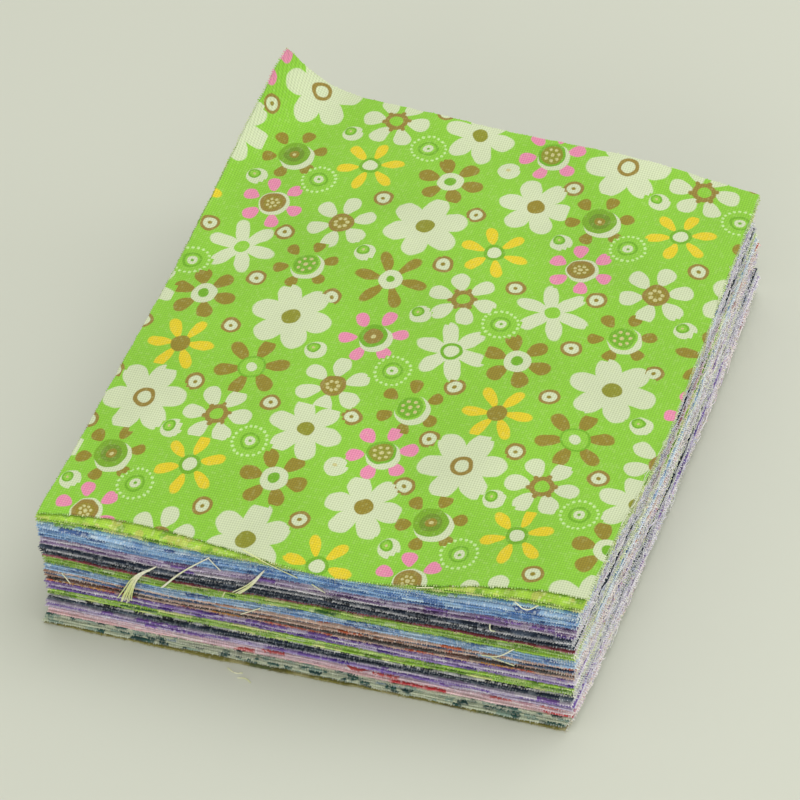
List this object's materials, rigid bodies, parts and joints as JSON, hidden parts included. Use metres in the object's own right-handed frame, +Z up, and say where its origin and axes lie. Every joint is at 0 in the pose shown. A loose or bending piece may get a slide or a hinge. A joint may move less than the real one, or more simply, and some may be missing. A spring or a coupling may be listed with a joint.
{
  "type": "fabric square bundle",
  "caption": "Neat stack of raw-cut printed cotton squares, a lime daisy print on top with its back corner curled up.",
  "frame": {"origin": "middle of the bundle's footprint, on the surface that it lies on", "axes": "+Z up out of the stack, +Y towards the back edge, +X to the right along the front edge"},
  "size_m": [0.102, 0.1112, 0.0433],
  "materials": {
    "mint": "plain-weave cotton, matt",
    "pink": "plain-weave cotton, matt",
    "navy": "plain-weave cotton, matt",
    "lime": "plain-weave cotton, matt",
    "purple": "plain-weave cotton, matt",
    "grey": "plain-weave cotton, matt",
    "peach": "plain-weave cotton, matt",
    "sky": "plain-weave cotton, matt",
    "dark_red": "plain-weave cotton, matt",
    "lilac": "plain-weave cotton, matt",
    "blue": "plain-weave cotton, matt",
    "pale_blue": "plain-weave cotton, matt",
    "leaf": "plain-weave cotton, matt",
    "daisy": "plain-weave cotton printed with daisies, matt"
  },
  "bodies": {
    "root": {"square_01_mint": "mint", "square_02_mint": "mint", "square_03_pink": "pink", "square_04_lilac": "lilac", "square_05_navy": "navy", "square_06_lime": "lime", "square_07_purple": "purple", "square_08_grey": "grey", "square_09_peach": "peach", "square_10_sky": "sky", "square_11_sky": "sky", "square_12_lime": "lime", "square_13_red": "dark_red", "square_14_navy": "navy", "square_15_purple": "purple", "square_16_blue": "blue", "square_17_pale_blue": "pale_blue", "square_18_leaf": "leaf", "square_19_daisy": "daisy"}
  },
  "joints": []
}
